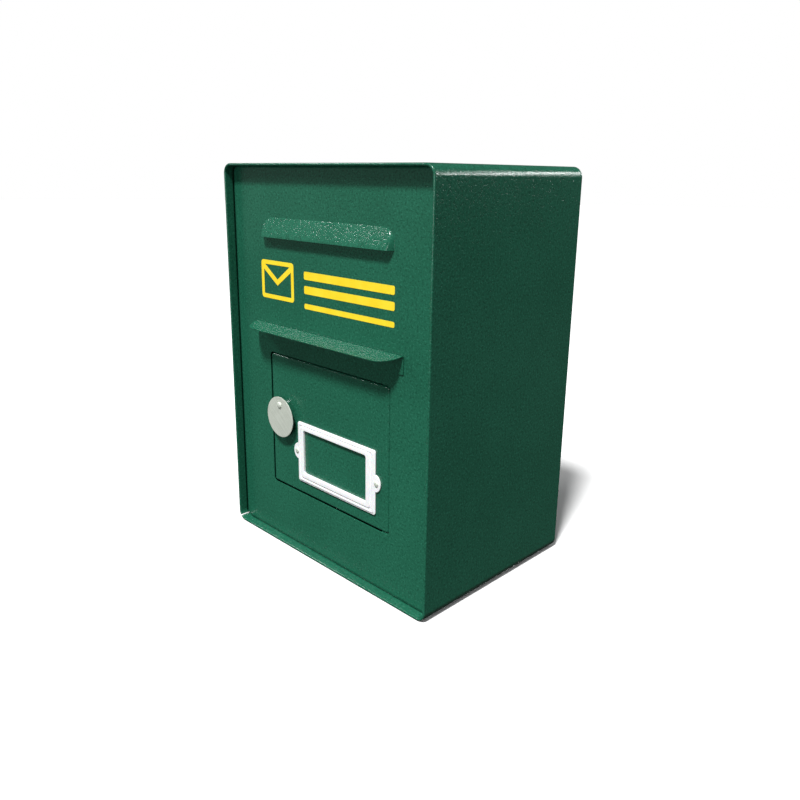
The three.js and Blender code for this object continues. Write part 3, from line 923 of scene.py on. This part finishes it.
def turn_lock():
    """The lock's housing with its flatted barrel, the nut behind the door, and the spacer."""
    low, high = box_mm("lock_housing")
    head, body, bore, flat = LOCK["head"], LOCK["body"], LOCK["bore"], LOCK["flat"]
    under, flatted = FACE_Y - GAP, FACE_Y + SHEET + 1
    corners = [
        (bore, low.y),
        (head, low.y),
        (head, under),
        (body, under),
        (body, flatted),
        (body, flatted + 0.05),
        (body, high.y),
        (bore, high.y),
    ]
    profile = eased(corners, [0.5, 0.9, 0.3, 0, 0, 0, 0.4, 0.2])

    def flats(x, z, y):
        return (x, max(-flat, min(flat, z))) if y > flatted + 0.01 else (x, z)

    made = turned("lock_housing_turned", profile, LOCK_AT, ZINC, 64, flats)
    place_piece(made, "door", "zinc_plated", "lock_housing")

    low, high = box_mm("lock_nut")
    hole, across, chamfer = body + GAP, NUT["across"], NUT["chamfer"]
    profile = [
        (hole, low.y),
        (across, low.y),
        (across + chamfer, low.y + chamfer),
        (across + NUT["crown"], (low.y + high.y) / 2),
        (across + chamfer, high.y - chamfer),
        (across, high.y),
        (hole, high.y),
    ]

    def hexagon(x, z, _):
        radius, turn = math.hypot(x, z), math.atan2(x, z)
        if radius <= hole + 0.01:
            return (x, z)
        apart = (turn + math.pi / 6) % (math.pi / 3) - math.pi / 6
        side = min(radius, across / math.cos(apart))
        return (x * side / radius, z * side / radius)

    made = turned("lock_nut_hex", profile, LOCK_AT, ZINC, 72, hexagon)
    place_piece(made, "door", "zinc_plated", "lock_nut")

    low, high = box_mm("cover_spacer")
    hole, outer = COVER_HOLE, SPACER_RADIUS
    sleeve = [(hole, low.y), (outer, low.y), (outer, high.y), (hole, high.y)]
    made = turned("cover_spacer_turned", eased(sleeve, 0.3), COVER_AT, ZINC)
    place_piece(made, "door", "zinc_plated", "cover_spacer")


# ---------------------------------------------------------------- keyhole cover
def cut_keyhole_cover():
    """A stamped disc with a hole near its rim, hung ahead of the lock."""
    low, high = box_mm("keyhole_cover")
    radius = (high.x - low.x) / 2
    x, z = (low.x + high.x) / 2, (low.z + high.z) / 2
    surface = Surface()
    rim = surface.ring(circle(x, z, radius, 96), low.y)
    margin = surface.ring(circle(x, z, radius - DISC["rim"], 96), low.y)
    hole = surface.ring(circle(COVER_AT.x, COVER_AT.z, DISC["hole"]), low.y)
    hole_margin = surface.ring(circle(COVER_AT.x, COVER_AT.z, DISC["margin"]), low.y)
    surface.band(rim, margin)
    surface.band(hole, hole_margin)
    surface.fill([margin, hole_margin])
    made = object_from("keyhole_cover_disc", surface, STAINLESS, facing=(0, -1, 0))
    thicken(made, high.y - low.y, edge=0.3)
    place_piece(made, "cover", "stainless", "keyhole_cover")


# ---------------------------------------------------------------- card frame
def ear_outline(left, low, right, high, radius, ear, half):
    """The frame's outline with a half-round ear in the middle of each side."""
    middle = (low + high) / 2
    base = rounded(left, low, right, high, radius, steps=6)
    quarter = len(base) // 4
    turns = [math.radians(a) for a in range(-90, 91, 10)]
    swell = [(ear * math.cos(t), half * math.sin(t)) for t in turns]
    right_ear = [(right + x, middle + z) for x, z in swell]
    left_ear = [(left - x, middle - z) for x, z in swell]
    return [
        *base[:quarter],
        *right_ear,
        *base[quarter : 3 * quarter],
        *left_ear,
        *base[3 * quarter :],
    ]


def mould_card_frame():
    """A moulded frame: a flat margin with ears, a groove and a raised band round the window."""
    low, high = box_mm("card_frame")
    back, front = high.y, low.y
    plate = back - 1.6
    ear = (high.x - low.x - CARD["width"]) / 2
    sides = (low.x + ear, low.z, high.x - ear, high.z)
    surface = Surface()

    def between(share, y):
        """A ring part of the way from the frame's edge to its window."""
        inset = [sign * width * share for sign, width in zip(INWARDS, CARD["window"])]
        shrunk = [side + move for side, move in zip(sides, inset)]
        return surface.ring(rounded(*shrunk, CARD["corner"], steps=6), y)

    def with_ears(inset, y):
        shrunk = [side + sign * inset for side, sign in zip(sides, INWARDS)]
        return surface.ring(ear_outline(*shrunk, CARD["corner"], ear, CARD["ear_half"] - inset), y)

    def rivet_holes(y):
        return [surface.ring(circle(at.x, at.z, RIVET_HOLE, 24), y) for at in RIVETS_AT]

    outside = [with_ears(0.25, back), with_ears(0, back - 0.25), with_ears(0, plate + 0.45)]
    outside += [with_ears(0.13, plate + 0.13), with_ears(0.45, plate)]
    surface.bands(outside)
    step = front + 0.5
    inside = [
        between(0.13, plate),
        between(0.17, step + 0.3),
        between(0.20, step),
        between(0.36, step),
        between(0.40, step + 0.55),
        between(0.50, step + 0.55),
        between(0.54, front + 0.2),
        between(0.58, front),
        between(0.90, front),
        between(0.96, front + 0.15),
        between(0.99, front + 0.5),
        between(1.0, front + 1.0),
        between(1.0, back),
    ]
    surface.bands(inside)
    front_holes, back_holes = rivet_holes(plate), rivet_holes(back)
    surface.fill([outside[-1], inside[0], *front_holes])
    surface.fill([outside[0], inside[-1], *back_holes])
    for front_hole, back_hole in zip(front_holes, back_holes):
        surface.band(front_hole, back_hole)
    made = object_from("card_frame_moulded", surface, WHITE_PLASTIC)
    even_shading(made, angle=50)
    place_piece(made, "door", "white_plastic", "card_frame")


# ---------------------------------------------------------------- pieces that keep their CAD shape
def refine(node, body, material, slot, edge):
    """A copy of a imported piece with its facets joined, its edges broken and its shading evened."""
    copy = bmesh.new()
    copy.from_mesh(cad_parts[node].data)
    bmesh.ops.remove_doubles(copy, verts=copy.verts, dist=1e-6)
    bmesh.ops.dissolve_limit(
        copy, angle_limit=math.radians(0.5), verts=copy.verts, edges=copy.edges
    )
    mesh = bpy.data.meshes.new(node)
    copy.to_mesh(mesh)
    copy.free()
    made = new_object(f"{node}_finished", mesh, material)
    break_edges(made, edge, angle=40)
    even_shading(made, angle=30)
    place_piece(made, body, slot, node)


def finish_small_parts():
    for end in ("top", "bottom"):
        refine(f"hinge_bracket_{end}", "cabinet", GREEN_COAT, "green_powder_coat", 0.25)
        refine(f"hinge_pin_{end}", "cabinet", ZINC, "zinc_plated", 0.15)
    for node in ("lock_plug", "lock_cam", "cam_screw"):
        refine(node, "plug", ZINC, "zinc_plated", 0.25)


def paint_marking():
    for node in ("envelope_sign", "stripe_low", "stripe_middle", "stripe_high"):
        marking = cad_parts[node]
        marking.data.materials.clear()
        marking.data.materials.append(YELLOW_FILM)


set_camera()
set_studio()
lay_floor()
fold_shell()
press_front_panel()
fold_back_panel()
fold_visor()
fold_stops()
fold_door_panel()
turn_lock()
cut_keyhole_cover()
set_rivets()
mould_card_frame()
finish_small_parts()
paint_marking()
